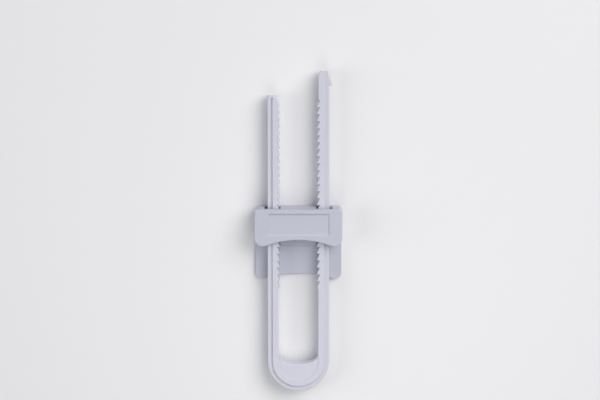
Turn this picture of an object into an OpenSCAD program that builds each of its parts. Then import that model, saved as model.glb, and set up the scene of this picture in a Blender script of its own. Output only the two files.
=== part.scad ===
// Sliding cabinet safety lock. A U-shaped shackle goes round two knobs or handles, and a lock body
// ratchets along its toothed legs. Squeezing the two side buttons draws the pawls out of the teeth.
// The lock lies on its back: X runs across it, Y towards the tips of the legs, Z out of its front.

/* [Shackle] */
// Overall length, from the bend to the tip of the long leg
shackle_len = 211; // [205:1:240]
// How far the short leg stops before the long one
short_leg_drop = 16; // [12:0.5:17]
// Overall width across the two legs
shackle_w = 40; // [39:0.5:46]
// Width of each leg
leg_w = 7; // [6:0.25:7.75]
// Depth of each leg, front to back
leg_depth = 9; // [8.5:0.25:12]
// Width of the lower ledge along the outside of the shackle
ledge_w = 3.1; // [1.5:0.1:3.5]
// How far the ledge lies below the front of the shackle
ledge_drop = 1.4; // [0.5:0.1:3]
// Height of the web at its middle, from the outside of the bend
web_h = 17.9; // [14:0.1:24]
// Radius of the web's hollow upper edge
web_edge_r = 26; // [20:1:40]
// Radius of the corners between the web and the legs
web_corner_r = 6; // [3:0.5:8]
// How far the web lies below the front of the shackle
web_sink = 0.5; // [0.2:0.1:1.5]
// Corner cut off the inside of each tip
tip_cut = 1.5; // [0.5:0.1:2]
// How far the barb of the long leg stands out of its side
barb_out = 1.6; // [1:0.1:2]
// Distance from the tip of the long leg to the catching face of its barb
barb_drop = 8.8; // [6:0.2:10]
// Length of the barb's straight edge above its catching face
barb_land = 0.8; // [0.4:0.1:2]

/* [Teeth] */
// Distance from one tooth to the next
tooth_pitch = 4.6; // [4:0.1:5]
// How far a tooth's tip stands out of the inside of the leg
tooth_out = 0.9; // [0.6:0.1:1.2]
// How deep the valley between two teeth cuts into the leg
tooth_in = 1; // [0.8:0.1:1.4]
// Distance from the outside of the bend to the first tooth
first_tooth = 68.9; // [60:0.1:80]
// Plain length left at the tip of the short leg
tip_land = 1.5; // [0.5:0.1:4]
// Tooth that the pawls sit under as the lock is stored
rest_tooth = 10; // [6:1:14]

/* [Lock body] */
// Height of the front cover
cover_h = 24.3; // [22.6:0.1:28]
// Height of the back plate
plate_h = 48.8; // [36:0.1:60]
// Thickness of the back plate
plate_t = 2.6; // [2.4:0.1:4]
// How far the sides of the plate lie inside those of the cover
plate_inset = 0.5; // [0:0.1:1]
// Radius of the upper corners of cover and plate
corner_r = 2.5; // [2.2:0.1:5]
// Radius of the feet at the cover's lower corners
foot_r = 5.4; // [4:0.1:7]
// Radius of the feet at the plate's lower corners
plate_foot_r = 4.2; // [3:0.1:7]
// Height of the arch between the feet of the plate
plate_arch = 3.9; // [2:0.1:5]
// Thickness of the cover's side walls
cover_wall = 2; // [1.6:0.1:2.4]
// Thickness of the cover's front
front_t = 2.2; // [1.8:0.1:3]
// Height of the raised step on the plate, under the pawls
step_h = 1; // [0.6:0.1:1.4]
// How far the step runs out below the cover
step_reach = 2; // [0.5:0.1:6]

/* [Recess in the cover] */
// Width of the recess at the surface
recess_w = 40.5; // [20:0.5:46]
// Height of the recess at the surface
recess_h = 14.8; // [8:0.1:15]
// Depth of the recess
recess_depth = 0.8; // [0.4:0.1:1.2]
// Distance from the top of the cover to the recess
recess_top = 2.6; // [2:0.1:4]
// Width of the sloping wall round the recess
recess_slope = 0.9; // [0.3:0.1:1.5]

/* [Release buttons] */
// How far a button moves when it is squeezed
press = 2.6; // [2.3:0.1:2.8]
// Distance from the finger pad to the top and the bottom of the cover
pad_margin = 6.2; // [6:0.1:7]
// Depth of the finger pad below the cover's side
pad_sink = 0.4; // [0.4:0.1:1]
// Thickness of the flange that keeps the button in the body
flange_t = 1.6; // [1.2:0.1:2.2]
// How far the flange reaches behind the edges of its window
flange_lip = 1.5; // [0.8:0.1:1.6]
// Thickness of the bridge that crosses in front of the leg
bridge_t = 1.7; // [1.2:0.1:2.4]
// Width of the bridge
bridge_w = 5.6; // [4.6:0.1:7]
// Number of grip ribs on a finger pad
grip_count = 5; // [3:1:6]
// Width of a grip rib
grip_w = 0.8; // [0.5:0.1:1.2]
// Height of a grip rib
grip_out = 0.4; // [0.2:0.1:0.4]
// Thickness of the peg that draws the pawl in
peg_t = 1.2; // [0.9:0.1:1.5]
// Width of the peg
peg_w = 3.6; // [2.6:0.1:4.2]
// How far the peg reaches into the pawl
peg_depth = 3; // [2:0.1:3.2]

/* [Pawls] */
// Distance from the top of the body to the teeth that the pawls hold
pawl_top = 6.9; // [6.8:0.1:7.7]
// How far the pawl reaches above its tooth
pawl_above = 1.4; // [0.8:0.1:1.4]
// How far the pawl reaches below the next tooth
pawl_below = 1.6; // [1.3:0.1:2]
// Thickness of the pawl's walls on both sides of the peg
pawl_wall = 1; // [0.7:0.1:1.1]
// Thickness of the ribs that guide the pawls
guide_t = 1; // [0.8:0.1:1.3]
// Thickness of the middle rib that the springs push against
rib_t = 3; // [2:0.1:3.6]

/* [Springs] */
// Diameter of the spring wire
wire_d = 0.45; // [0.3:0.05:0.5]
// Outside diameter of a spring
spring_d = 3.8; // [3.4:0.1:3.9]
// Number of turns in a spring
spring_turns = 5; // [3:1:6]
// Depth of the spring's seat in the pawl
spring_seat = 2.5; // [1.5:0.1:3]
// Length of the spigot that centres the spring on the middle rib
spigot_len = 1.2; // [0.8:0.1:1.3]

/* [Screws] */
// Diameter of a screw's shank
screw_d = 2; // [1.6:0.1:2.2]
// Length of a screw's shank
screw_len = 8; // [6:0.5:9]
// Diameter of a screw's head
head_d = 4.2; // [3.6:0.1:4.4]
// Height of a screw's head
head_h = 1.2; // [0.9:0.1:1.4]
// Wall of the boss round a screw
boss_wall = 1; // [0.8:0.1:1.1]
// Distance of the two lower screws from the middle
screw_x = 7.5; // [6:0.25:9]
// Distance from the bosses of the lower screws to the top of the arch
boss_foot = 1.4; // [1:0.1:2]
// Width of the cross slot in a screw's head
slot_w = 0.6; // [0.4:0.05:0.8]

/* [Clearances] */
// Between the shackle and the lock body
run_gap = 0.3; // [0.2:0.05:0.4]
// Between a button or a pawl and its guides
slide_gap = 0.2; // [0.1:0.05:0.25]
// Between the holding faces of a pawl and a tooth
hold_gap = 0.15; // [0.1:0.05:0.3]
// Between the pawl's block and the tips of the teeth
pawl_gap = 0.6; // [0.4:0.1:0.8]
// Between the pawl's tip and the bottom of a valley
valley_gap = 0.4; // [0.3:0.05:0.5]
// Between the barb and a button that is squeezed
barb_gap = 0.4; // [0.3:0.05:0.6]
// Round a screw's shank in its boss, and a spring against its seats
fit_gap = 0.05; // [0.03:0.01:0.1]
// Round a screw in the plate
hole_gap = 0.2; // [0.1:0.05:0.3]
// Between a screw's head and the back of the plate
head_sink = 0.2; // [0:0.05:0.3]

/* [Hidden] */
$fn = 96;
// Sides and rings per turn of a spring's wire
wire_sides = 6;
wire_rings = 8;
// Sides of an arc in an outline
arc_steps = 12;
// Overrun of cuts that open through a face
over = 1;

// Shackle
bend_r = shackle_w / 2;
leg_in = bend_r - leg_w;
bend_y = -shackle_len / 2 + bend_r;
tip_y = shackle_len / 2;
short_tip_y = tip_y - short_leg_drop;
leg_z0 = plate_t + run_gap;
leg_z1 = leg_z0 + leg_depth;
ledge_z = leg_z1 - ledge_drop;
web_z = leg_z1 - web_sink;
web_y = -shackle_len / 2 + web_h;
root_in = leg_w / 8;
tooth_depth = tooth_out + tooth_in;
tooth_tip_x = leg_in - tooth_out;
valley_x = leg_in + tooth_in;
tooth_count = floor((shackle_len - short_leg_drop - first_tooth - tip_land) / tooth_pitch);

// Lock body
held_y = tooth_y(rest_tooth);
top_y = held_y + pawl_top;
cover_y = top_y - cover_h;
plate_y = top_y - plate_h;
bridge_z0 = leg_z1 + run_gap;
bridge_z1 = bridge_z0 + bridge_t;
ceiling_z = bridge_z1 + run_gap;
front_z = ceiling_z + front_t;
step_z = plate_t + step_h;
step_x = tooth_tip_x - pawl_gap;
notch_x0 = tooth_tip_x - run_gap;
gate_x = bend_r + run_gap;
entry_x = bend_r + barb_out + barb_gap;

// Buttons
flange_x0 = entry_x + press;
flange_x1 = flange_x0 + flange_t;
cavity_x = flange_x1 + run_gap;
cover_x = cavity_x + cover_wall;
pad_x = cover_x - pad_sink;
pad_h = cover_h - 2 * pad_margin;
pad_y1 = top_y - pad_margin;
pad_y0 = pad_y1 - pad_h;
pad_z0 = plate_t + slide_gap;
pad_z1 = bridge_z0;
grip_step = pad_h / (grip_count + 1);

// Pawls
pawl_x1 = tooth_tip_x - pawl_gap;
pawl_x0 = pawl_x1 - 2 * pawl_wall - peg_t - press - 2 * slide_gap;
pawl_tip_x = valley_x - valley_gap;
pawl_y0 = held_y - tooth_pitch - pawl_below;
pawl_y1 = held_y + pawl_above;
pawl_mid_y = (pawl_y0 + pawl_y1) / 2;
pawl_z0 = step_z + slide_gap;
pawl_z1 = bridge_z0 - run_gap;
peg_x0 = pawl_x0 + pawl_wall + slide_gap;
peg_z = bridge_z0 - peg_depth;
peg_hole_z = peg_z - slide_gap;
guide_z = (pawl_z0 + pawl_z1) / 2 + rib_t / 2;

// Springs
spring_r = spring_d / 2;
wire_r = wire_d / 2;
coil_r = spring_r - wire_r;
spring_z = (pawl_z0 + peg_hole_z) / 2;
spring_x0 = rib_t / 2 + fit_gap;
spring_x1 = pawl_x0 + spring_seat - fit_gap;
spring_rise = (spring_x1 - spring_x0 - wire_d) / spring_turns;
rib_z = spring_z + spring_r + wire_d;

// Screws
screw_r = screw_d / 2;
head_r = head_d / 2;
head_z = head_sink + head_h;
boss_r = screw_r + fit_gap + boss_wall;
low_screw_y = pawl_y0 - guide_t - 2 * slide_gap - boss_r;
high_screw_y = top_y - cover_wall - boss_r + boss_wall / 2;
screw_spots = [[-screw_x, low_screw_y], [screw_x, low_screw_y], [0, high_screw_y]];

// Top of the arch in the cover's lower edge
arch_y = low_screw_y - boss_r - boss_foot;

// Colours
plastic = [0.84, 0.84, 0.88];
acetal = [0.90, 0.90, 0.89];
steel = [0.62, 0.63, 0.65];

echo(gap_between_spring_turns = spring_rise - wire_d);

// Height of the holding face of a tooth, counted from the bend
function tooth_y(i) = -shackle_len / 2 + first_tooth + i * tooth_pitch;

// Points of an arc round a centre, from one angle to another
function arc(centre, r, from, to) =
    [for (i = [0:arc_steps])
        let (a = from + (to - from) * i / arc_steps)
        [centre.x + r * cos(a), centre.y + r * sin(a)]];

// Inside edge of a leg, from the bend up past its last tooth
function toothed_edge() = concat(
    [[leg_in, bend_y], [leg_in, tooth_y(0)]],
    [for (i = [0:tooth_count - 1], j = [0, 1])
        j == 0 ? [tooth_tip_x, tooth_y(i)] : [valley_x, tooth_y(i + 1)]]);

// Root of a leg, with a tongue that reaches into the bend
function leg_root(outer_x) =
    [[outer_x, bend_y],
     [outer_x - root_in, bend_y],
     [outer_x - root_in, bend_y - over],
     [leg_in + root_in, bend_y - over],
     [leg_in + root_in, bend_y]];

// Plain end of the long leg, with the barb where the section is full width
function long_tip(outer_x, barbed) = concat(
    [[leg_in, tooth_y(tooth_count)],
     [leg_in, tip_y - tip_cut],
     [leg_in + tip_cut, tip_y]],
    barbed
        ? [[outer_x - barb_out * 2 / 3, tip_y],
           [outer_x + barb_out, tip_y - barb_drop + barb_land],
           [outer_x + barb_out, tip_y - barb_drop],
           [outer_x, tip_y - barb_drop]]
        : [[outer_x, tip_y]],
    leg_root(outer_x));

// Plain end of the short leg
function short_tip(outer_x) = concat(
    [[valley_x, short_tip_y - tip_cut / 2],
     [valley_x + tip_cut / 2, short_tip_y],
     [outer_x, short_tip_y]],
    leg_root(outer_x));

// Outline with round corners, and with an arch that runs smoothly into the round feet beside it
module arched_outline(half_w, y0, y1, r_top, r_foot, apex_y) {
    top = [half_w - r_top, y1 - r_top];
    foot = [half_w - r_foot, y0 + r_foot];
    lift = foot.y - apex_y;
    r_arch = (foot.x * foot.x + lift * lift - r_foot * r_foot) / (2 * (r_foot - lift));
    turn = asin(foot.x / (r_arch + r_foot));
    polygon(concat(
        arc(top, r_top, 0, 90),
        arc([-top.x, top.y], r_top, 90, 180),
        arc([-foot.x, foot.y], r_foot, 180, 270 + turn),
        arc([0, apex_y - r_arch], r_arch, 90 + turn, 90 - turn),
        arc(foot, r_foot, 270 - turn, 360)));
}

// Box between two opposite corners
module block(low, high) {
    translate(low)
        cube(high - low);
}

// Draws its children on the right, and their mirror image on the left
module both_sides() {
    children();
    mirror([1, 0, 0])
        children();
}

// One leg in two parts: the full width up to the ledge, and the inner part up to the front
module leg(full_points, raised_points) {
    translate([0, 0, leg_z0]) {
        linear_extrude(leg_depth - ledge_drop)
            polygon(full_points);
        linear_extrude(leg_depth)
            polygon(raised_points);
    }
}

// Half ring that joins the legs, with the same stepped section
module bend() {
    translate([0, bend_y, 0])
        rotate_extrude(angle = -180)
            polygon([[leg_in, leg_z0], [bend_r, leg_z0], [bend_r, ledge_z],
                     [bend_r - ledge_w, ledge_z], [bend_r - ledge_w, leg_z1], [leg_in, leg_z1]]);
}

// Panel that fills the bend, with a hollow upper edge that runs into the legs
module web() {
    middle = [0, web_y + web_edge_r];
    corner_x = leg_in - web_corner_r;
    reach = web_edge_r - web_corner_r;
    corner_y = middle.y - sqrt(reach * reach - corner_x * corner_x);
    turn = acos(corner_x / reach);
    rim_r = leg_in + leg_w / 4;
    translate([0, 0, leg_z0])
        linear_extrude(web_z - leg_z0)
            difference() {
                union() {
                    intersection() {
                        translate([0, bend_y])
                            circle(r = rim_r);
                        translate([-rim_r, bend_y - rim_r])
                            square([2 * rim_r, rim_r]);
                    }
                    translate([-rim_r, bend_y])
                        square([2 * rim_r, corner_y - bend_y]);
                }
                polygon(concat(
                    arc([-corner_x, corner_y], web_corner_r, 180, 180 + turn),
                    arc(middle, web_edge_r, 180 + turn, 360 - turn),
                    arc([corner_x, corner_y], web_corner_r, 360 - turn, 360),
                    [[leg_in, corner_y + over], [-leg_in, corner_y + over]]));
            }
}

module shackle() {
    raised_x = bend_r - ledge_w;
    color(plastic) {
        leg(concat(toothed_edge(), long_tip(bend_r, true)),
            concat(toothed_edge(), long_tip(raised_x, false)));
        mirror([1, 0, 0])
            leg(concat(toothed_edge(), short_tip(bend_r)),
                concat(toothed_edge(), short_tip(raised_x)));
        bend();
        web();
    }
}

// Ribs on the plate that guide the pawls, and the middle rib with the springs' spigots
module pawl_guides() {
    for (y = [pawl_y0 - slide_gap - guide_t, pawl_y1 + slide_gap])
        both_sides()
            block([pawl_x0, y, plate_t], [step_x, y + guide_t, guide_z]);
    block([-rib_t / 2, pawl_y0, plate_t], [rib_t / 2, pawl_y1 - pawl_above / 2, rib_z]);
    translate([0, pawl_mid_y, spring_z])
        rotate([0, 90, 0])
            cylinder(r = coil_r - wire_r - slide_gap, h = rib_t + 2 * spigot_len, center = true);
}

module back_plate() {
    color(plastic)
        difference() {
            union() {
                linear_extrude(plate_t)
                    arched_outline(cover_x - plate_inset, plate_y, top_y, corner_r, plate_foot_r,
                                   plate_y + plate_arch);
                block([-step_x, cover_y - step_reach, 0],
                      [step_x, top_y - cover_wall - slide_gap, step_z]);
                pawl_guides();
            }
            for (spot = screw_spots)
                translate(spot) {
                    translate([0, 0, -over])
                        cylinder(r = head_r + hole_gap, h = head_z + over);
                    cylinder(r = screw_r + hole_gap, h = step_z + over);
                }
        }
}

// Bosses in the cover that take the screws, without their bores
module screw_bosses() {
    for (spot = screw_spots)
        translate([spot.x, spot.y, step_z])
            cylinder(r = boss_r, h = ceiling_z - step_z + front_t / 2);
}

// Openings in the cover for one leg: the upper one lets the barb in, the lower one stops it
module leg_openings() {
    mid_y = (cover_y + top_y) / 2;
    block([notch_x0, mid_y, plate_t - over], [entry_x, top_y + over, bridge_z0]);
    block([notch_x0, cover_y - over, plate_t - over], [gate_x, mid_y, bridge_z0]);
}

// Shallow recess in the front of the cover, with sloping walls
module front_recess() {
    x = recess_w / 2;
    y1 = top_y - recess_top;
    y0 = y1 - recess_h;
    skin = 0.01;
    hull() {
        block([-x, y0, front_z], [x, y1, front_z + skin]);
        block([recess_slope - x, y0 + recess_slope, front_z - recess_depth],
              [x - recess_slope, y1 - recess_slope, front_z]);
    }
}

module front_cover() {
    color(plastic)
        difference() {
            union() {
                difference() {
                    translate([0, 0, plate_t])
                        linear_extrude(front_z - plate_t)
                            arched_outline(cover_x, cover_y, top_y, corner_r, foot_r, arch_y);
                    translate([0, 0, plate_t - over])
                        linear_extrude(ceiling_z - plate_t + over)
                            arched_outline(cavity_x, cover_y + cover_wall, top_y - cover_wall,
                                           corner_r - cover_wall / 2, foot_r / 2,
                                           arch_y + cover_wall);
                }
                screw_bosses();
            }
            both_sides() {
                leg_openings();
                block([cavity_x - over, pad_y0 - slide_gap, plate_t - over],
                      [cover_x + over, pad_y1 + slide_gap, pad_z1 + slide_gap]);
            }
            block([-notch_x0 - over, cover_y - over, plate_t - over],
                  [notch_x0 + over, held_y - tooth_pitch, step_z + slide_gap]);
            for (spot = screw_spots)
                translate([spot.x, spot.y, step_z - over])
                    cylinder(r = screw_r + fit_gap, h = screw_len + over);
            front_recess();
        }
}

// Right button: finger pad, flange, bridge over the leg, and the peg that draws the pawl in
module button() {
    color(plastic) {
        block([flange_x0, pad_y0 - flange_lip, pad_z0],
              [flange_x1, pad_y1 + flange_lip, bridge_z1]);
        block([flange_x1, pad_y0, pad_z0], [pad_x, pad_y1, pad_z1]);
        for (i = [1:grip_count])
            translate([pad_x, pad_y0 + i * grip_step - grip_w / 2, pad_z0 + grip_w])
                cube([grip_out, grip_w, pad_z1 - pad_z0 - 2 * grip_w]);
        block([peg_x0, pawl_mid_y - bridge_w / 2, bridge_z0],
              [flange_x0, pawl_mid_y + bridge_w / 2, bridge_z1]);
        block([peg_x0, pawl_mid_y - peg_w / 2, peg_z],
              [peg_x0 + peg_t, pawl_mid_y + peg_w / 2, bridge_z0]);
    }
}

module right_button() {
    button();
}

module left_button() {
    mirror([1, 0, 0])
        button();
}

// Right pawl: a sliding block with one tooth, a pocket for the peg and a seat for the spring
module pawl() {
    slope = tooth_pitch / tooth_depth;
    ramp_x = tooth_tip_x - slide_gap;
    ramp_y = held_y - tooth_pitch;
    face_y = held_y - hold_gap;
    color(acetal)
        difference() {
            translate([0, 0, pawl_z0])
                linear_extrude(pawl_z1 - pawl_z0)
                    polygon([[pawl_x0, pawl_y0], [pawl_x1, pawl_y0],
                             [pawl_x1, ramp_y + (pawl_x1 - ramp_x) * slope],
                             [pawl_tip_x, ramp_y + (pawl_tip_x - ramp_x) * slope],
                             [pawl_tip_x, face_y], [pawl_x1, face_y],
                             [pawl_x1, pawl_y1], [pawl_x0, pawl_y1]]);
            block([pawl_x0 + pawl_wall, pawl_mid_y - peg_w / 2 - slide_gap, peg_hole_z],
                  [pawl_x1 - pawl_wall, pawl_mid_y + peg_w / 2 + slide_gap, pawl_z1 + over]);
            translate([pawl_x0 - over, pawl_mid_y, spring_z])
                rotate([0, 90, 0])
                    cylinder(r = spring_r + slide_gap, h = spring_seat + over);
        }
}

module right_pawl() {
    pawl();
}

module left_pawl() {
    mirror([1, 0, 0])
        pawl();
}

// Right spring: one wire wound from the middle rib to its seat in the pawl
module spring() {
    last = spring_turns * wire_rings;
    points = [for (i = [0:last], k = [0:wire_sides - 1])
        let (a = 360 * i / wire_rings,
             b = 360 * k / wire_sides,
             r = coil_r + wire_r * cos(b))
        [spring_x0 + wire_r + spring_rise * i / wire_rings + wire_r * sin(b),
         pawl_mid_y + r * cos(a), spring_z + r * sin(a)]];
    sides = [for (i = [0:last - 1], k = [0:wire_sides - 1], half = [0, 1])
        let (p = i * wire_sides + k,
             q = i * wire_sides + (k + 1) % wire_sides)
        half == 0 ? [p, p + wire_sides, q] : [q, p + wire_sides, q + wire_sides]];
    caps = [for (k = [1:wire_sides - 2], end = [0, 1])
        end == 0
            ? [0, k, k + 1]
            : [last * wire_sides, last * wire_sides + k + 1, last * wire_sides + k]];
    color(steel)
        polyhedron(points, concat(sides, caps));
}

module right_spring() {
    spring();
}

module left_spring() {
    mirror([1, 0, 0])
        spring();
}

// Four-way slotted screws that hold the cover to the plate from behind
module cover_screws() {
    color(steel)
        for (spot = screw_spots)
            translate([spot.x, spot.y, head_sink])
                difference() {
                    union() {
                        cylinder(r = head_r, h = head_h);
                        cylinder(r = screw_r, h = head_h + screw_len);
                    }
                    for (turn = [0, 90])
                        rotate(turn)
                            translate([-head_r * 2 / 3, -slot_w / 2, -over])
                                cube([head_r * 4 / 3, slot_w, head_h / 2 + over]);
                }
}

shackle();
back_plate();
front_cover();
left_button();
right_button();
left_pawl();
right_pawl();
left_spring();
right_spring();
cover_screws();
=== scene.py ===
import math

import bmesh
import bpy
from mathutils import Matrix


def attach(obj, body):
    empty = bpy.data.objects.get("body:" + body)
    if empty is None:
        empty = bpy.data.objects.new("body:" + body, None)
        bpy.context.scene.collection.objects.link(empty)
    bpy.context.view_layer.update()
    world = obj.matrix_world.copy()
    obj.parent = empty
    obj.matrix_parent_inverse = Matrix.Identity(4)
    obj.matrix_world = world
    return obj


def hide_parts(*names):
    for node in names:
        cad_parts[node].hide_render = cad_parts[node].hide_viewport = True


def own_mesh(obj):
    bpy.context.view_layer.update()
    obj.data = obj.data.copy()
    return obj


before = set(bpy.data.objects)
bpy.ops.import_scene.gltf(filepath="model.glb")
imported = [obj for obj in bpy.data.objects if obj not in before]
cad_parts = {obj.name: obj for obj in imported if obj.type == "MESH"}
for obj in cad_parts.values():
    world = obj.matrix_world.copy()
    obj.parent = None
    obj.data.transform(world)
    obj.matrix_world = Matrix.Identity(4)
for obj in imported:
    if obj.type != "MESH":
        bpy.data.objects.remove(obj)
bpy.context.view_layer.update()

mm = 0.001                      # pieces are drawn in millimetres and scaled when they are finished
mergeGap = 0.0005               # vertices closer than this become one
touchGap = 0.001                # a line that ends closer than this to a vertex ends on it
cutGap = 0.00001                # vertices closer than this to a cut lie on it
slack = 0.01                    # room in comparisons of places
facing = 0.9                    # least share of a direction in a normal that looks along it
flatAngle = math.radians(1)     # faces that bend less than this are one flat face
creaseAngle = math.radians(20)  # edges that bend less than this belong to a curve
sides = {"left": -1, "right": 1}  # direction along X


# drawing tools

class Pen:
    # draws an outline at one height, a corner or an arc at a time
    def __init__(self, bm, z, tag, start):
        self.bm, self.z, self.tag = bm, z, tag
        self.tags = bm.verts.layers.int.get("outline") or bm.verts.layers.int.new("outline")
        self.verts = []
        if isinstance(start, bmesh.types.BMVert):
            self.verts.append(start)
        else:
            self.keep([bm.verts.new((*start, z))])

    def keep(self, verts):
        for vert in verts:
            vert[self.tags] = self.tag
            self.verts.append(vert)

    def to(self, x, y):
        made = bmesh.ops.extrude_vert_indiv(self.bm, verts=[self.verts[-1]])["verts"]
        made[0].co = (x, y, self.z)
        self.keep(made)
        return self.verts[-1]

    def arc(self, x, y, turn, steps):
        before = len(self.bm.verts)
        bmesh.ops.spin(self.bm, geom=[self.verts[-1]], cent=(x, y, self.z), axis=(0, 0, 1),
                       angle=math.radians(turn), steps=steps)
        self.bm.verts.ensure_lookup_table()
        self.keep(self.bm.verts[before:])
        return self.verts[-1]

    def join(self, vert):
        # ends on a vertex that is there already
        gap = (self.verts[-1].co - vert.co).length
        if gap < touchGap:
            bmesh.ops.weld_verts(self.bm, targetmap={self.verts[-1]: vert})
            self.verts[-1] = vert
        else:
            self.bm.edges.new((self.verts[-1], vert))
            self.verts.append(vert)

    def close(self):
        # ends where it began, and returns the closed line's edges
        self.join(self.verts[0])
        return ringOf(self.bm, self.verts[:-1])

    def between(self, first, last):
        return self.verts[self.verts.index(first):self.verts.index(last) + 1]


def pull(bm, faces, move):
    # extrudes a patch of faces and moves its copy, which it returns
    edges = list(dict.fromkeys(edge for face in faces for edge in face.edges))
    made = bmesh.ops.extrude_face_region(bm, geom=faces + edges)["geom"]
    verts = [part for part in made if isinstance(part, bmesh.types.BMVert)]
    bmesh.ops.translate(bm, verts=verts, vec=move)
    return [part for part in made if isinstance(part, bmesh.types.BMFace)]


def pullRim(bm, edges, rise):
    # extrudes a closed line of edges into a wall, and returns the wall's far rim
    made = bmesh.ops.extrude_edge_only(bm, edges=edges)["geom"]
    verts = [part for part in made if isinstance(part, bmesh.types.BMVert)]
    bmesh.ops.translate(bm, verts=verts, vec=(0, 0, rise))
    return verts, [part for part in made if isinstance(part, bmesh.types.BMEdge)]


def ringOf(bm, verts):
    # the edges of a closed line of vertices
    return [bm.edges.get(pair) or bm.edges.new(pair)
            for pair in zip(verts, verts[1:] + verts[:1])]


def ringAt(bm, place, radius, steps):
    # a level circle, as its vertices and its edges
    verts = bmesh.ops.create_circle(bm, segments=steps, radius=radius,
                                    matrix=Matrix.Translation(place))["verts"]
    return verts, ringOf(bm, verts)


def widen(bm, verts, share, x, y):
    # scales vertices about an upright axis
    bmesh.ops.scale(bm, verts=verts, vec=(share, share, 1),
                    space=Matrix.Translation((-x, -y, 0)))


def fill(bm, edges, up):
    # closes the plane between closed lines; up is 1 or -1
    bmesh.ops.triangle_fill(bm, use_beauty=True, use_dissolve=True, edges=edges,
                            normal=(0, 0, up))


def block(bm, low, high):
    made = bmesh.ops.create_cube(bm, size=1)["verts"]
    size = [b - a for a, b in zip(low, high)]
    middle = [(a + b) / 2 for a, b in zip(low, high)]
    bmesh.ops.scale(bm, verts=made, vec=size)
    bmesh.ops.translate(bm, verts=made, vec=middle)
    return made


def lathe(bm, profile, centre, steps):
    # spins a closed profile of (radius, height) about an upright axis
    verts = [bm.verts.new((centre[0] + r, centre[1], z)) for r, z in profile]
    edges = ringOf(bm, verts)
    bmesh.ops.spin(bm, geom=verts + edges, cent=(*centre, 0), axis=(0, 0, 1),
                   angle=math.tau, steps=steps, use_merge=True)


def roundEdges(bm, widest, choose):
    # gives each edge the share of the widest rounding that choose(edge, tag, heights) asks for
    bmesh.ops.remove_doubles(bm, verts=bm.verts, dist=mergeGap)
    bmesh.ops.recalc_face_normals(bm, faces=bm.faces)
    shares = bm.edges.layers.float.new("bevel_weight_edge")
    tags = bm.verts.layers.int.get("outline")
    for edge in bm.edges:
        if len(edge.link_faces) != 2 or edge.calc_face_angle() < creaseAngle:
            continue
        tag = max(vert[tags] for vert in edge.verts) if tags else 0
        heights = sorted(round(vert.co.z, 3) for vert in edge.verts)
        edge[shares] = choose(edge, tag, heights) / widest
        edge.smooth = edge[shares] > 0


def finishPiece(bm, name, body, node, material, widest=0.0, segments=0):
    bmesh.ops.remove_doubles(bm, verts=bm.verts, dist=mergeGap)
    bmesh.ops.recalc_face_normals(bm, faces=bm.faces)
    bmesh.ops.scale(bm, verts=bm.verts, vec=(mm, mm, mm))
    mesh = bpy.data.meshes.new(name)
    bm.to_mesh(mesh)
    bm.free()
    mesh.shade_smooth()
    mesh.materials.append(material)
    piece = bpy.data.objects.new(name, mesh)
    bpy.context.scene.collection.objects.link(piece)
    if widest:
        bevel = piece.modifiers.new("rounding", "BEVEL")
        bevel.limit_method = "WEIGHT"
        bevel.width = widest * mm
        bevel.segments = segments
        bevel.use_clamp_overlap = False
    normals = piece.modifiers.new("flatness", "WEIGHTED_NORMAL")
    normals.keep_sharp = True
    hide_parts(node)
    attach(piece, body)
    print("piece:", name, len(mesh.polygons), "faces")
    return piece


# finishes

class Wire:
    # a socket's output; arithmetic on it adds Math nodes
    def __init__(self, tree, socket):
        self.tree, self.socket = tree, socket

    def add(self, kind, settings, sockets, output=0):
        node = self.tree.nodes.new(kind)
        for name, value in settings.items():
            setattr(node, name, value)
        for name, value in sockets.items():
            if isinstance(value, Wire):
                self.tree.links.new(value.socket, node.inputs[name])
            else:
                node.inputs[name].default_value = value
        return Wire(self.tree, node.outputs[output])

    def maths(self, operation, other):
        return self.add("ShaderNodeMath", {"operation": operation}, {0: self, 1: other})

    def __add__(self, other):
        return self.maths("ADD", other)

    def __mul__(self, other):
        return self.maths("MULTIPLY", other)

    __radd__, __rmul__ = __add__, __mul__

    def noise(self, scale, detail, stretch=(1, 1, 1)):
        place = self.add("ShaderNodeMapping", {}, {"Vector": self, "Scale": stretch})
        return self.add("ShaderNodeTexNoise", {},
                        {"Vector": place, "Scale": scale, "Detail": detail})

    def blend(self, low, high):
        # mixes two colours by this value
        factor, first, second, result = 0, 6, 7, 2    # the Mix node's sockets for colours
        return self.add("ShaderNodeMix", {"data_type": "RGBA"},
                        {factor: self, first: low, second: high}, result)

    def relief(self, strength, depth):
        # a normal with this value as its height
        return self.add("ShaderNodeBump", {},
                        {"Strength": strength, "Distance": depth, "Height": self})

    def feed(self, shader, name):
        self.tree.links.new(self.socket, shader.inputs[name])


def newFinish(name, fixed):
    # a Principled shader with its constant sockets set, and the wire of its coordinates
    material = bpy.data.materials.new(name)
    material.use_nodes = True
    tree = material.node_tree
    shader = tree.nodes["Principled BSDF"]
    for socket, value in fixed.items():
        shader.inputs[socket].default_value = value
    place = Wire(tree, tree.nodes.new("ShaderNodeTexCoord").outputs["Object"])
    return material, shader, place


# each noise is its scale and detail, and its stretch along X, Y and Z where it has one

plasticLook = {
    # shackle and body are one plastic; the body's copy is darker, which is painted shade standing
    # for the dimmer light on the cover
    "shackle": {"shade": (0.605, 0.61, 0.695, 1), "light": (0.645, 0.65, 0.73, 1)},
    "body": {"shade": (0.515, 0.52, 0.61, 1), "light": (0.55, 0.555, 0.64, 1)},
    "mottle": (70, 3),               # slow change of tone through the wall
    "flow": (90, 4, (1, 0.16, 1)),   # streaks along the way the melt ran
    "grain": (2600, 2),              # spark-eroded texture of the mould
    "mottleTone": 0.6, "flowTone": 0.4,
    "gloss": 0.36, "mottleGloss": 0.12, "grainGloss": 0.08,
    "grainHeight": 0.7, "flowHeight": 0.3, "bump": 0.16, "depth": 0.00004, "index": 1.49,
}


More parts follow.
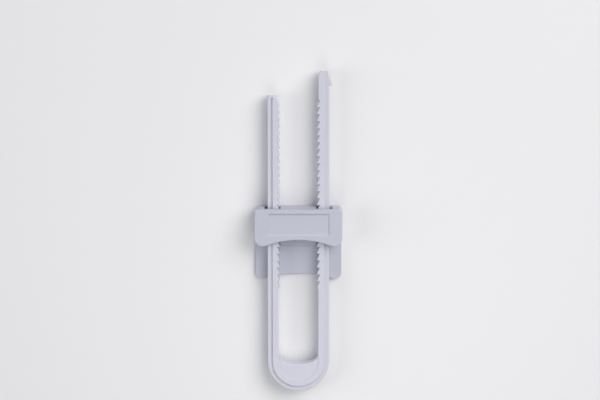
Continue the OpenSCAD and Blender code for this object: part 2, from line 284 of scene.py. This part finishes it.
def mouldedPlastic(part):
    look = plasticLook
    material, shader, place = newFinish(part + "Plastic", {"IOR": look["index"]})
    mottle = place.noise(*look["mottle"])
    flow = place.noise(*look["flow"])
    grain = place.noise(*look["grain"])
    tone = mottle * look["mottleTone"] + flow * look["flowTone"]
    tone.blend(look[part]["shade"], look[part]["light"]).feed(shader, "Base Color")
    gloss = look["gloss"] + look["mottleGloss"] * mottle + look["grainGloss"] * grain
    gloss.feed(shader, "Roughness")
    skin = grain * look["grainHeight"] + flow * look["flowHeight"]
    skin.relief(look["bump"], look["depth"]).feed(shader, "Normal")
    return material


acetalLook = {
    "shade": (0.76, 0.75, 0.72, 1), "light": (0.82, 0.815, 0.79, 1),
    "haze": (240, 3),
    "rub": (900, 2, (0.1, 1, 1)),    # fine marks along the sliding direction
    "gloss": 0.28, "rubGloss": 0.16, "bump": 0.1, "depth": 0.00003, "index": 1.48,
}


def slickAcetal():
    look = acetalLook
    material, shader, place = newFinish("slickAcetal", {"IOR": look["index"]})
    haze = place.noise(*look["haze"])
    rub = place.noise(*look["rub"])
    haze.blend(look["shade"], look["light"]).feed(shader, "Base Color")
    (look["gloss"] + look["rubGloss"] * rub).feed(shader, "Roughness")
    rub.relief(look["bump"], look["depth"]).feed(shader, "Normal")
    return material


wireLook = {
    "shade": (0.42, 0.43, 0.45, 1), "light": (0.62, 0.63, 0.65, 1),
    "draw": (5200, 3, (1, 0.25, 0.25)), "gloss": 0.22, "drawGloss": 0.2,
}


def drawnWire():
    look = wireLook
    material, shader, place = newFinish("drawnWire", {"Metallic": 1.0})
    draw = place.noise(*look["draw"])
    draw.blend(look["shade"], look["light"]).feed(shader, "Base Color")
    (look["gloss"] + look["drawGloss"] * draw).feed(shader, "Roughness")
    return material


zincLook = {
    "shade": (0.46, 0.46, 0.45, 1), "light": (0.66, 0.67, 0.69, 1),
    "bloom": (420, 4), "pits": (3600, 2),
    "gloss": 0.26, "bloomGloss": 0.22, "bump": 0.2, "depth": 0.00003,
}


def zincPlate():
    look = zincLook
    material, shader, place = newFinish("zincPlate", {"Metallic": 1.0})
    bloom = place.noise(*look["bloom"])
    pits = place.noise(*look["pits"])
    bloom.blend(look["shade"], look["light"]).feed(shader, "Base Color")
    (look["gloss"] + look["bloomGloss"] * bloom).feed(shader, "Roughness")
    pits.relief(look["bump"], look["depth"]).feed(shader, "Normal")
    return material


shacklePlastic = mouldedPlastic("shackle")
# the body's copy is a darker copy of the same plastic: painted shade on the cover, back plate and
# buttons
bodyPlasticPaintedShade = mouldedPlastic("body")
acetal = slickAcetal()
springSteel = drawnWire()
screwSteel = zincPlate()
print("finishes:", len(bpy.data.materials))


# shackle

shackleSize = {
    "tip": 105.5, "shortTip": 89.5, "bend": -85.5,
    "outside": 20.0, "inside": 13.0, "ledge": 3.1,
    "back": 2.9, "ledgeHeight": 10.5, "webHeight": 11.4, "front": 11.9,
    "firstTooth": -36.6, "pitch": 4.6, "teeth": 27, "toothTip": 12.1, "valley": 14.0,
    "tipCut": 1.5, "barbOut": 1.6, "barbDrop": 8.8, "barbLand": 0.8, "barbSlope": 2 / 3,
    "webEdge": -87.6, "webEdgeRadius": 26.0, "webCorner": 6.0,
    "bendSteps": 72, "webSteps": 28, "cornerSteps": 6,
    "rounds": {"rim": 0.4, "back": 0.4, "foot": 0.2, "brow": 0.4, "tooth": 0.18, "inside": 0.4,
               "web": 0.6, "runOut": 0.35, "webLine": 0.2, "barb": 0.3},
    "roundSteps": 4,
}


def shackle():
    s, r = shackleSize, shackleSize["rounds"]
    outer, ledge, inner, ring, edge = 1, 2, 3, 4, 5   # outlines
    raised = s["outside"] - s["ledge"]
    barbX, barbY = s["outside"] + s["barbOut"], s["tip"] - s["barbDrop"]
    edgeCentre = s["webEdge"] + s["webEdgeRadius"]
    cornerX = s["inside"] - s["webCorner"]
    reach = s["webEdgeRadius"] - s["webCorner"]
    cornerY = edgeCentre - math.sqrt(reach ** 2 - cornerX ** 2)
    turn = math.degrees(math.acos(cornerX / reach))
    toothHeights = [s["firstTooth"] + i * s["pitch"] for i in range(s["teeth"] + 1)]

    bm = bmesh.new()
    right = Pen(bm, s["back"], inner, (s["inside"], cornerY))
    right.to(s["inside"], s["firstTooth"])
    for low, high in zip(toothHeights, toothHeights[1:]):
        right.to(s["toothTip"], low)
        right.to(s["valley"], high)
    right.to(s["inside"], toothHeights[-1])
    right.to(s["inside"], s["tip"] - s["tipCut"])
    right.to(s["inside"] + s["tipCut"], s["tip"])
    longTip = right.to(raised, s["tip"])

    step = Pen(bm, s["back"], ledge, longTip)
    step.to(raised, s["bend"])
    step.arc(0, s["bend"], -180, s["bendSteps"])
    shortTip = step.to(-raised, s["shortTip"])

    # the short leg ends a little above its last tooth
    left = Pen(bm, s["back"], inner, shortTip)
    left.to(-s["valley"] - s["tipCut"] / 2, s["shortTip"])
    left.to(-s["valley"], s["shortTip"] - s["tipCut"] / 2)
    for low, high in zip(toothHeights[-2::-1], toothHeights[:0:-1]):
        left.to(-s["valley"], high)
        left.to(-s["toothTip"], low)
    left.to(-s["inside"], s["firstTooth"])
    webLeft = left.to(-s["inside"], cornerY)
    webRight = right.verts[0]

    hoop = Pen(bm, s["back"], ring, webLeft)
    hoop.to(-s["inside"], s["bend"])
    hoop.arc(0, s["bend"], 180, s["bendSteps"])
    hoop.join(webRight)

    hollow = Pen(bm, s["back"], edge, webLeft)
    hollow.arc(-cornerX, cornerY, turn, s["cornerSteps"])
    hollow.arc(0, edgeCentre, 180 - 2 * turn, s["webSteps"])
    hollow.arc(cornerX, cornerY, turn, s["cornerSteps"])
    hollow.join(webRight)

    outside = Pen(bm, s["back"], outer, longTip)
    outside.to(s["outside"] - s["barbOut"] * s["barbSlope"], s["tip"])
    outside.to(barbX, barbY + s["barbLand"])
    outside.to(barbX, barbY)
    outside.to(s["outside"], barbY)
    outside.to(s["outside"], s["bend"])
    outside.arc(0, s["bend"], -180, s["bendSteps"])
    outside.to(-s["outside"], s["shortTip"])
    outside.join(shortTip)

    patches = bm.faces.layers.int.new("patch")
    ledgeFace = bm.faces.new(outside.verts + step.verts[-2:0:-1])
    raisedFace = bm.faces.new(right.verts + step.verts[1:] + left.verts[1:] + hoop.verts[1:-1])
    webFace = bm.faces.new(hoop.verts[::-1] + hollow.verts[1:-1])
    ledgeFace[patches], raisedFace[patches], webFace[patches] = ledge, inner, edge
    bm.normal_update()

    tops = pull(bm, [ledgeFace, raisedFace, webFace], (0, 0, s["ledgeHeight"] - s["back"]))
    tops = [f for f in tops if f[patches] != ledge]
    tops = pull(bm, tops, (0, 0, s["webHeight"] - s["ledgeHeight"]))
    tops = [f for f in tops if f[patches] == inner]
    pull(bm, tops, (0, 0, s["front"] - s["webHeight"]))
    bmesh.ops.recalc_face_normals(bm, faces=bm.faces)
    bmesh.ops.dissolve_limit(bm, angle_limit=flatAngle / 2, verts=bm.verts, edges=bm.edges)

    def choose(e, tag, heights):
        low, high = heights
        tall = high - low > slack
        toothed = min(v.co.y for v in e.verts) > s["firstTooth"] - slack
        if tag == inner:
            return r["tooth"] if toothed else 0 if tall else r["inside"]
        if tall:
            return r["barb"]
        if tag == outer:
            return r["back"] if low == s["back"] else r["rim"]
        if tag == ledge:
            return r["brow"] if low == s["front"] else r["foot"]
        if tag == ring:
            return r["webLine"] if low == s["front"] else 0
        room = s["inside"] - max(abs(v.co.x) for v in e.verts)
        # runs out in even steps where the web's edge meets the legs, so that it doesn't fold
        return min(r["web"], r["runOut"] * math.sqrt(max(0, room)))

    roundEdges(bm, r["web"], choose)
    return finishPiece(bm, "shackleBar", "shackle", "shackle", shacklePlastic,
                       r["web"], s["roundSteps"])


shackle()


# front cover

coverSize = {
    "half": 28.5, "top": 16.3, "feet": -8.0, "archTop": -3.7, "corner": 2.5, "foot": 5.4,
    "wall": 2.0, "back": 2.6, "opening": 12.2, "ceiling": 14.2, "front": 16.4,
    "notch": 11.8, "gate": 20.3, "entry": 22.0,
    "windowLow": -2.0, "windowHigh": 10.3, "windowTop": 12.4, "stepRoom": 3.8,
    "recessHalf": 20.25, "recessLow": -1.1, "recessHigh": 13.7, "recessDepth": 0.8,
    "recessSlope": 0.9, "recessCorner": 0.7,
    "bossRadius": 2.05, "boreRadius": 1.05, "bossFoot": 3.6, "bossRoot": 0.5,
    "cornerSteps": 10, "footSteps": 16, "leastSteps": 2, "recessSteps": 5, "bossSteps": 32,
    "rounds": {"rim": 0.5, "recess": 0.2, "opening": 0.25, "back": 0.15}, "roundSteps": 4,
}
screwSpots = [(-7.5, -0.25), (7.5, -0.25), (0.0, 12.75)]  # shared by cover, plate and screws


def archBetween(footX, footY, foot, apex):
    # the arch that runs smoothly into two round feet: the height of its centre, its radius,
    # and the angle at which it meets them
    lift = footY - apex
    radius = (footX ** 2 + lift ** 2 - foot ** 2) / (2 * (foot - lift))
    return apex - radius, radius, math.degrees(math.asin(footX / (radius + foot)))


def coverLine(bm, tag, inset, corner, foot):
    # one wall line of the cover, with a vertex at each side of every opening
    c = coverSize
    half, top, low = c["half"] - inset, c["top"] - inset, c["feet"] + inset
    footX, footY = half - foot, low + foot
    archY, archR, turn = archBetween(footX, footY, foot, c["archTop"] + inset)

    pen = Pen(bm, c["ceiling"], tag, (half, c["windowHigh"]))
    stops = [pen.verts[0]]
    pen.to(half, top - corner)
    pen.arc(half - corner, top - corner, 90, c["cornerSteps"])
    for x in (c["entry"], c["notch"], -c["notch"], -c["entry"]):
        stops.append(pen.to(x, top))
    pen.to(corner - half, top)
    pen.arc(corner - half, top - corner, 90, c["cornerSteps"])
    stops.append(pen.to(-half, c["windowHigh"]))
    stops.append(pen.to(-half, c["windowLow"]))
    pen.to(-half, footY)
    pen.arc(-footX, footY, 90 + turn, c["footSteps"])
    now = turn                                        # angle along the arch, from its top
    for x in (-c["gate"], -c["notch"], c["notch"], c["gate"]):
        then = -math.degrees(math.asin(x / archR))
        steps = max(c["leastSteps"], round(now - then))
        stops.append(pen.arc(0, archY, then - now, steps))
        now = then
    pen.arc(0, archY, -turn - now, c["leastSteps"])
    pen.arc(footX, footY, 90 + turn, c["footSteps"])
    pen.verts[-1].co.x = half                         # the chained arcs end a hair off
    stops.append(pen.to(half, c["windowLow"]))
    return pen, stops


def sinkRecess(bm, skin, tag):
    # the front skin is filled again around a rectangle, which is sunk with sloping walls
    c = coverSize
    half, low, high = c["recessHalf"], c["recessLow"], c["recessHigh"]
    corner, steps = c["recessCorner"], c["recessSteps"]
    rim = list(skin.edges)
    bmesh.ops.delete(bm, geom=[skin], context="FACES_ONLY")
    pen = Pen(bm, c["front"], tag, (half, low + corner))
    pen.to(half, high - corner)
    pen.arc(half - corner, high - corner, 90, steps)
    pen.to(corner - half, high)
    pen.arc(corner - half, high - corner, 90, steps)
    pen.to(-half, low + corner)
    pen.arc(corner - half, low + corner, 90, steps)
    pen.to(half - corner, low)
    pen.arc(half - corner, low + corner, 90, steps)
    loop = pen.close()
    fill(bm, rim + loop, 1)
    floor, floorRim = pullRim(bm, loop, -c["recessDepth"])
    width, height, slope = 2 * half, high - low, 2 * c["recessSlope"]
    bmesh.ops.scale(bm, verts=floor, vec=((width - slope) / width, (height - slope) / height, 1),
                    space=Matrix.Translation((0, -(low + high) / 2, 0)))
    bmesh.ops.contextual_create(bm, geom=floorRim)


def frontCover():
    c, r = coverSize, coverSize["rounds"]
    outer, inner, recess = 1, 2, 3                    # outlines
    wall, gap, roof, window, lintel = 1, 2, 3, 4, 5   # kinds of face
    # counted round the wall from the right window's upper end; the lintel spans the plate's step
    special = {5: window, 8: lintel, 11: window}
    bm = bmesh.new()
    outerPen, outerStops = coverLine(bm, outer, 0.0, c["corner"], c["foot"])
    innerPen, innerStops = coverLine(bm, inner, c["wall"], c["corner"] - c["wall"] / 2,
                                     c["foot"] / 2)

    # wall sectors from one opening's side to the next; every second one is an opening
    kinds = bm.faces.layers.int.new("sector")
    sectors = []
    count = len(outerStops)
    for i in range(count):
        parts = []
        for pen, stops in ((outerPen, outerStops), (innerPen, innerStops)):
            first, last = stops[i], stops[(i + 1) % count]
            parts.append(pen.between(first, last) if i + 1 < count else [first, last])
        face = bm.faces.new(parts[0] + parts[1][::-1])
        face[kinds] = special.get(i, gap if i % 2 else wall)
        sectors.append(face)
    roofFace = bm.faces.new(innerPen.verts)
    roofFace[kinds] = roof
    bmesh.ops.recalc_face_normals(bm, faces=bm.faces)

    # the walls go down in stages, and each kind of opening stops at its own height
    fronts = pull(bm, sectors + [roofFace], (0, 0, c["front"] - c["ceiling"]))
    underside = [f for f in bm.faces if f[kinds] and f not in fronts
                 and abs(f.calc_center_median().z - c["ceiling"]) < slack
                 and abs(f.normal.z) > facing]
    lower = [f for f in underside if f[kinds] != roof]
    lower = pull(bm, lower, (0, 0, c["windowTop"] - c["ceiling"]))
    lower = [f for f in lower if f[kinds] != window]
    lower = pull(bm, lower, (0, 0, c["opening"] - c["windowTop"]))
    walls = [f for f in lower if f[kinds] == wall]
    lintels = [f for f in lower if f[kinds] == lintel]
    pull(bm, walls, (0, 0, c["back"] - c["opening"]))
    pull(bm, lintels, (0, 0, c["stepRoom"] - c["opening"]))
    sinkRecess(bm, next(f for f in fronts if f[kinds] == roof), recess)

    bossLow, bossHigh = c["bossFoot"], c["ceiling"] + c["bossRoot"]
    for spot in screwSpots:
        lathe(bm, [(c["boreRadius"], bossLow), (c["bossRadius"], bossLow),
                   (c["bossRadius"], bossHigh), (c["boreRadius"], bossHigh)],
              spot, c["bossSteps"])

    # the walls are whole again before the edges are rounded
    bmesh.ops.recalc_face_normals(bm, faces=bm.faces)
    seams = []
    for e in bm.edges:
        level = {round(v.co.z, 3) for v in e.verts} in ({c["windowTop"]}, {c["opening"]})
        if level and e.calc_face_angle(math.pi) < flatAngle:
            seams.append(e)
    bmesh.ops.dissolve_edges(bm, edges=seams, use_verts=True)

    def choose(e, tag, heights):
        low, high = heights
        if tag == recess:
            return r["recess"]
        if low == c["front"]:
            return r["rim"] if tag == outer else 0
        if high in (c["back"], c["stepRoom"]) and low == high:
            return r["back"]
        beside = any(f.normal.z < -facing or abs(f.normal.z) < 1 - facing for f in e.link_faces)
        if high <= c["windowTop"] and beside and tag in (outer, inner):
            return r["opening"]
        return 0

    roundEdges(bm, r["rim"], choose)
    return finishPiece(bm, "coverShell", "lock_body", "front_cover", bodyPlasticPaintedShade,
                       r["rim"], c["roundSteps"])


frontCover()


# back plate

plateSize = {
    "half": 28.0, "top": 16.3, "feet": -32.5, "archTop": -28.6, "corner": 2.5, "foot": 4.2,
    "thick": 2.6, "stepHalf": 11.5, "stepLow": -10.0, "stepHigh": 14.1, "stepHeight": 3.6,
    "sinkRadius": 2.3, "sinkDepth": 1.4, "holeRadius": 1.2,
    "root": 2.8,                     # the ribs below start inside the step
    "pawlX": 5.3, "guideThick": 1.0, "guideLow": 2.0, "guideHigh": 11.0, "guideTop": 9.35,
    "ribHalf": 1.5, "ribLow": 3.2, "ribHigh": 10.1, "ribTop": 8.75,
    "spigotRadius": 1.25, "spigotHalf": 2.7, "springY": 7.0, "springZ": 6.4,
    "cornerSteps": 10, "footSteps": 16, "archSteps": 32, "holeSteps": 32, "spigotSteps": 32,
    "rounds": {"rim": 0.4, "back": 0.3, "step": 0.3, "sink": 0.15}, "roundSteps": 4,
}


def backPlate():
    p, r = plateSize, plateSize["rounds"]
    outer, step, hole = 1, 2, 3                       # outlines
    bm = bmesh.new()
    footX, footY = p["half"] - p["foot"], p["feet"] + p["foot"]
    cornerX, cornerY = p["half"] - p["corner"], p["top"] - p["corner"]
    archY, _, turn = archBetween(footX, footY, p["foot"], p["archTop"])
    pen = Pen(bm, 0.0, outer, (p["half"], footY))
    pen.to(p["half"], cornerY)
    pen.arc(cornerX, cornerY, 90, p["cornerSteps"])
    pen.to(-cornerX, p["top"])
    pen.arc(-cornerX, cornerY, 90, p["cornerSteps"])
    pen.to(-p["half"], footY)
    pen.arc(-footX, footY, 90 + turn, p["footSteps"])
    pen.arc(0, archY, -2 * turn, p["archSteps"])
    pen.arc(footX, footY, 90 + turn, p["footSteps"])
    backRim = pen.close()

    # sunk screw holes, from the back up through the step
    sinks, holeTops = [], []
    tags = bm.verts.layers.int.get("outline")
    for x, y in screwSpots:
        rim, edges = ringAt(bm, (x, y, 0), p["sinkRadius"], p["holeSteps"])
        for vert in rim:
            vert[tags] = hole
        sinks += edges
        seatEdges = pullRim(bm, edges, p["sinkDepth"])[1]
        hub, hubEdges = pullRim(bm, seatEdges, 0)
        widen(bm, hub, p["holeRadius"] / p["sinkRadius"], x, y)
        holeTops += pullRim(bm, hubEdges, p["stepHeight"] - p["sinkDepth"])[1]
    fill(bm, backRim + sinks, -1)

    frontRim = pullRim(bm, backRim, p["thick"])[1]
    pad = Pen(bm, p["thick"], step, (p["stepHalf"], p["stepLow"]))
    pad.to(p["stepHalf"], p["stepHigh"])
    pad.to(-p["stepHalf"], p["stepHigh"])
    pad.to(-p["stepHalf"], p["stepLow"])
    padFoot = pad.close()
    fill(bm, frontRim + padFoot, 1)
    padRim = pullRim(bm, padFoot, p["stepHeight"] - p["thick"])[1]
    fill(bm, padRim + holeTops, 1)

    def choose(e, tag, heights):
        low, high = heights
        if tag == outer:
            return r["back"] if high == 0 else r["rim"] if low == p["thick"] else 0
        if tag == step:
            return r["step"] if low == p["stepHeight"] else 0
        return r["sink"] if high == 0 else 0

    roundEdges(bm, r["rim"], choose)

    # pawl guides, the middle rib and its spigots
    guideWidth = p["stepHalf"] - p["pawlX"]
    for y in (p["guideLow"], p["guideHigh"]):
        for x in (-p["stepHalf"], p["pawlX"]):
            block(bm, (x, y, p["root"]), (x + guideWidth, y + p["guideThick"], p["guideTop"]))
    block(bm, (-p["ribHalf"], p["ribLow"], p["root"]), (p["ribHalf"], p["ribHigh"], p["ribTop"]))
    place = Matrix.Translation((0, p["springY"], p["springZ"]))
    bmesh.ops.create_cone(bm, cap_ends=True, segments=p["spigotSteps"],
                          radius1=p["spigotRadius"], radius2=p["spigotRadius"],
                          depth=2 * p["spigotHalf"],
                          matrix=place @ Matrix.Rotation(math.pi / 2, 4, "Y"))
    return finishPiece(bm, "plateShell", "lock_body", "back_plate", bodyPlasticPaintedShade,
                       r["rim"], p["roundSteps"])


backPlate()


# squeeze buttons

buttonSize = {
    "flangeIn": 24.6, "flangeOut": 26.2, "flangeLow": -3.3, "flangeHigh": 11.6,
    "back": 2.8, "front": 13.9,
    "padLow": -1.8, "padHigh": 10.1, "padFront": 12.2, "padFace": 28.1,
    "ribOut": 0.4, "ribWidth": 0.8, "ribRoot": 0.3, "ribs": 5,
    "bridgeLow": 4.2, "bridgeHigh": 9.8, "bridgeBack": 12.2,
    "pegX": 6.5, "pegThick": 1.2, "pegLow": 5.2, "pegHigh": 8.8, "pegBack": 9.2,
    "rounds": {"edge": 0.35, "rib": 0.25}, "roundSteps": 3,
}


def cut(bm, letter, *places):
    # slices the whole mesh across the axis x, y or z
    axis = "xyz".index(letter)
    for place in places:
        point, normal = [0, 0, 0], [0, 0, 0]
        point[axis], normal[axis] = place, 1
        bmesh.ops.bisect_plane(bm, geom=bm.verts[:] + bm.edges[:] + bm.faces[:], dist=cutGap,
                               plane_co=point, plane_no=normal)


def within(bm, normal, low, high):
    # faces that look along a direction and have their middle inside a box
    found = []
    for face in bm.faces:
        middle = face.calc_center_median()
        inside = all(a - slack < m < b + slack for a, m, b in zip(low, middle, high))
        if inside and face.normal.dot(normal) > facing:
            found.append(face)
    return found


def button(side):
    b, r = buttonSize, buttonSize["rounds"]
    bm = bmesh.new()
    block(bm, (b["flangeIn"], b["flangeLow"], b["back"]),
          (b["flangeOut"], b["flangeHigh"], b["front"]))
    bm.normal_update()

    # finger pad out of the flange's outer face
    cut(bm, "y", b["padLow"], b["padHigh"])
    cut(bm, "z", b["padFront"])
    pad = within(bm, (1, 0, 0), (b["flangeOut"], b["padLow"], b["back"]),
                 (b["flangeOut"], b["padHigh"], b["padFront"]))
    pull(bm, pad, (b["padFace"] - b["flangeOut"], 0, 0))

    # bridge out of the inner face, and the peg down from its end
    cut(bm, "y", b["bridgeLow"], b["bridgeHigh"])
    cut(bm, "z", b["bridgeBack"])
    bm.normal_update()
    root = within(bm, (-1, 0, 0), (b["flangeIn"], b["bridgeLow"], b["bridgeBack"]),
                  (b["flangeIn"], b["bridgeHigh"], b["front"]))
    pull(bm, root, (b["pegX"] - b["flangeIn"], 0, 0))
    cut(bm, "x", b["pegX"] + b["pegThick"])
    cut(bm, "y", b["pegLow"], b["pegHigh"])
    bm.normal_update()
    tip = within(bm, (0, 0, -1), (b["pegX"], b["pegLow"], b["bridgeBack"]),
                 (b["pegX"] + b["pegThick"], b["pegHigh"], b["bridgeBack"]))
    pull(bm, tip, (0, 0, b["pegBack"] - b["bridgeBack"]))

    # flat parts go back to single faces before the edges are rounded
    bmesh.ops.dissolve_limit(bm, angle_limit=flatAngle, verts=bm.verts, edges=bm.edges)

    def choose(e, tag, heights):
        return r["edge"]                              # every edge is rounded alike

    roundEdges(bm, r["edge"], choose)

    # grip ribs stand on the pad
    shares = bm.edges.layers.float.get("bevel_weight_edge")
    spacing = (b["padHigh"] - b["padLow"]) / (b["ribs"] + 1)
    halfRib = b["ribWidth"] / 2
    for i in range(b["ribs"]):
        y = b["padLow"] + (i + 1) * spacing
        rib = block(bm, (b["padFace"] - b["ribRoot"], y - halfRib, b["back"] + b["ribWidth"]),
                    (b["padFace"] + b["ribOut"], y + halfRib, b["padFront"] - b["ribWidth"]))
        for edge in {e for v in rib for e in v.link_edges}:
            if all(v.co.x > b["padFace"] for v in edge.verts):
                edge[shares] = r["rib"] / r["edge"]
    bmesh.ops.scale(bm, verts=bm.verts, vec=(sides[side], 1, 1))
    return finishPiece(bm, side + "ButtonShell", side + "_button", side + "_button",
                       bodyPlasticPaintedShade, r["edge"], b["roundSteps"])


for side in sides:
    button(side)


# pawls keep their CAD shape

for side in sides:
    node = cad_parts[side + "_pawl"]
    node.data.materials.clear()
    node.data.materials.append(acetal)


# springs

springSize = {
    "wire": 0.45, "coil": 1.675, "start": 1.55, "end": 7.75, "y": 7.0, "z": 6.4,
    "turns": 5, "closed": 1.0,       # closed turns at each end
    "closedPitch": 1.04,             # rise of a closed turn, in wires
    "wireSteps": 12, "steps": 28, "press": 2.6,
}


def spring(side):
    s = springSize
    bm = bmesh.new()
    start = (s["start"] + s["wire"] / 2, s["y"] + s["coil"], s["z"])
    rim = ringAt(bm, start, s["wire"] / 2, s["wireSteps"])[1]
    bmesh.ops.contextual_create(bm, geom=rim)
    openTurns = s["turns"] - 2 * s["closed"]
    closedRise = s["wire"] * s["closedPitch"]
    length = s["end"] - s["start"] - s["wire"]
    openRise = (length - 2 * s["closed"] * closedRise) / openTurns
    closed = (s["closed"], closedRise)
    for turns, rise in (closed, (openTurns, openRise), closed):
        steps = round(turns * s["steps"])
        made = bmesh.ops.spin(bm, geom=rim, cent=(0, s["y"], s["z"]), axis=(1, 0, 0),
                              angle=math.tau * turns, dvec=(rise * turns / steps, 0, 0),
                              steps=steps)["geom_last"]
        rim = [part for part in made if isinstance(part, bmesh.types.BMEdge)]
    bmesh.ops.contextual_create(bm, geom=rim)
    bmesh.ops.scale(bm, verts=bm.verts, vec=(sides[side], 1, 1))
    piece = finishPiece(bm, side + "SpringCoil", "lock_body", side + "_spring",
                        springSteel)
    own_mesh(piece)
    return piece


for side in sides:
    spring(side)


# screws

screwSize = {
    "face": 0.2, "seat": 1.4, "end": 9.4, "head": 2.1, "shank": 1.0, "edge": 0.35,
    "point": 0.8, "pointRadius": 0.55,
    "slotHalf": 0.3, "slotReach": 1.35, "slotDepth": 0.7, "slotTaper": 0.72, "steps": 40,
}


def coverScrews():
    s = screwSize
    slot = 1                                          # outline
    bm = bmesh.new()
    for x, y in screwSpots:
        # head and shank as one turned shape, open at the driver's side
        radius, height = s["head"] - s["edge"], s["face"]
        face = ringAt(bm, (x, y, height), radius, s["steps"])[1]
        edges = face
        for newRadius, newHeight in ((s["head"], s["face"] + s["edge"]), (s["head"], s["seat"]),
                                     (s["shank"], s["seat"]),
                                     (s["shank"], s["end"] - s["point"]),
                                     (s["pointRadius"], s["end"])):
            verts, edges = pullRim(bm, edges, newHeight - height)
            widen(bm, verts, newRadius / radius, x, y)
            radius, height = newRadius, newHeight
        bmesh.ops.contextual_create(bm, geom=edges)

        # cross recess, tapering inwards; one arm, then three quarter turns of it
        reach, half = s["slotReach"], s["slotHalf"]
        corners = [(reach, -half), (reach, half), (half, half)]
        for _ in range(3):
            corners += [(-dy, dx) for dx, dy in corners[-3:]]
        pen = Pen(bm, s["face"], slot, (x + reach, y - half))
        for dx, dy in corners[1:]:
            pen.to(x + dx, y + dy)
        cross = pen.close()
        fill(bm, face + cross, -1)
        verts, edges = pullRim(bm, cross, s["slotDepth"])
        widen(bm, verts, s["slotTaper"], x, y)
        bmesh.ops.contextual_create(bm, geom=edges)
    return finishPiece(bm, "screwSet", "lock_body", "cover_screws", screwSteel)


coverScrews()


# stage, light and camera

stageLook = {"floor": (0.86, 0.86, 0.87, 1), "roughness": 0.9, "drop": 0.0004, "size": 6.0}
lamps = {
    "key": {"place": (0.9, 0.75, 1.2), "size": 1.4, "power": 19.6, "colour": (1.0, 0.99, 0.98)},
    "top": {"place": (0.1, 1.5, 0.6), "size": 0.8, "power": 4.4, "colour": (1.0, 1.0, 1.0)},
    "left": {"place": (-1.1, 0.0, 0.7), "size": 0.9, "power": 4.9, "colour": (0.98, 0.99, 1.0)},
    "fill": {"place": (0.06, -0.20, 0.40), "size": 0.36, "power": 0.49, "colour": (1.0, 1.0, 1.0)},
}
worldLook = {"colour": (0.93, 0.94, 1.0, 1), "strength": 0.16}
cameraLook = {
    "aim": (1.04, 21.05, 7.0), "tilt": 11.0, "distance": 2500.0, "frameWidth": 390.0,
    "sensor": 36.0, "clipEnd": 20,
}


def stage():
    bm = bmesh.new()
    bmesh.ops.create_grid(bm, x_segments=1, y_segments=1, size=stageLook["size"] / 2,
                          matrix=Matrix.Translation((0, 0, -stageLook["drop"])))
    mesh = bpy.data.meshes.new("floor")
    bm.to_mesh(mesh)
    bm.free()
    floor = bpy.data.objects.new("floor", mesh)
    bpy.context.scene.collection.objects.link(floor)
    material = newFinish("paleFloor", {"Roughness": stageLook["roughness"],
                                       "Base Color": stageLook["floor"]})[0]
    mesh.materials.append(material)


def light():
    for name, look in lamps.items():
        lamp = bpy.data.lights.new(name, "AREA")
        lamp.shape, lamp.size = "DISK", look["size"]
        lamp.energy, lamp.color = look["power"], look["colour"]
        item = bpy.data.objects.new(name, lamp)
        item.location = look["place"]
        item.rotation_euler = (-item.location).to_track_quat("-Z", "Y").to_euler()
        bpy.context.scene.collection.objects.link(item)
    world = bpy.data.worlds.new("softRoom")
    world.use_nodes = True
    sky = world.node_tree.nodes["Background"]
    sky.inputs["Color"].default_value = worldLook["colour"]
    sky.inputs["Strength"].default_value = worldLook["strength"]
    bpy.context.scene.world = world


def camera():
    c = cameraLook
    tilt = math.radians(c["tilt"])
    lens = bpy.data.cameras.new("photoView")
    lens.sensor_width = c["sensor"]
    lens.lens = c["sensor"] * c["distance"] / c["frameWidth"]
    lens.clip_end = c["clipEnd"]
    item = bpy.data.objects.new("photoView", lens)
    x, y, z = c["aim"]
    y += c["distance"] * math.sin(tilt)
    z += c["distance"] * math.cos(tilt)
    item.location = (x * mm, y * mm, z * mm)
    item.rotation_euler = (-tilt, 0, 0)
    bpy.context.scene.collection.objects.link(item)
    bpy.context.scene.camera = item


stage()
light()
camera()
bpy.context.scene.view_settings.view_transform = "Standard"
print("stage, light and camera set")
